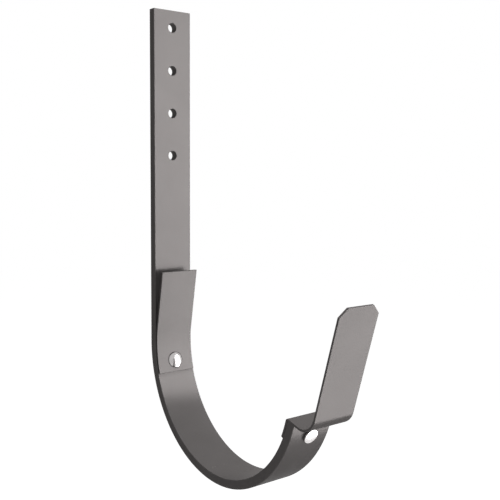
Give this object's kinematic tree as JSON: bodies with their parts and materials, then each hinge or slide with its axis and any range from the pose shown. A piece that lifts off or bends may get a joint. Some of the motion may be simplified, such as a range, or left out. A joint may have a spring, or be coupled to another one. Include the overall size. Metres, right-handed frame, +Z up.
{
  "type": "gutter bracket",
  "caption": "Half-round gutter bracket: a flat steel bar with fixing holes in a straight stem, bent into a hook seat, with a riveted sheet clip at the back and at the front.",
  "frame": {"origin": "middle of the row of fixing holes, on the back face of the stem", "axes": "+X out from the wall, +Y along the gutter, +Z up along the stem"},
  "size_m": [0.1631, 0.025, 0.2635],
  "materials": {
    "graphite_coating": "matt graphite grey coating over steel",
    "rivet_aluminium": "bare, drawn smooth"
  },
  "bodies": {
    "root": {"hook_bar": "graphite_coating", "rear_clip": "graphite_coating", "front_clip": "graphite_coating", "rear_rivet": "rivet_aluminium", "front_rivet": "rivet_aluminium"}
  },
  "joints": []
}
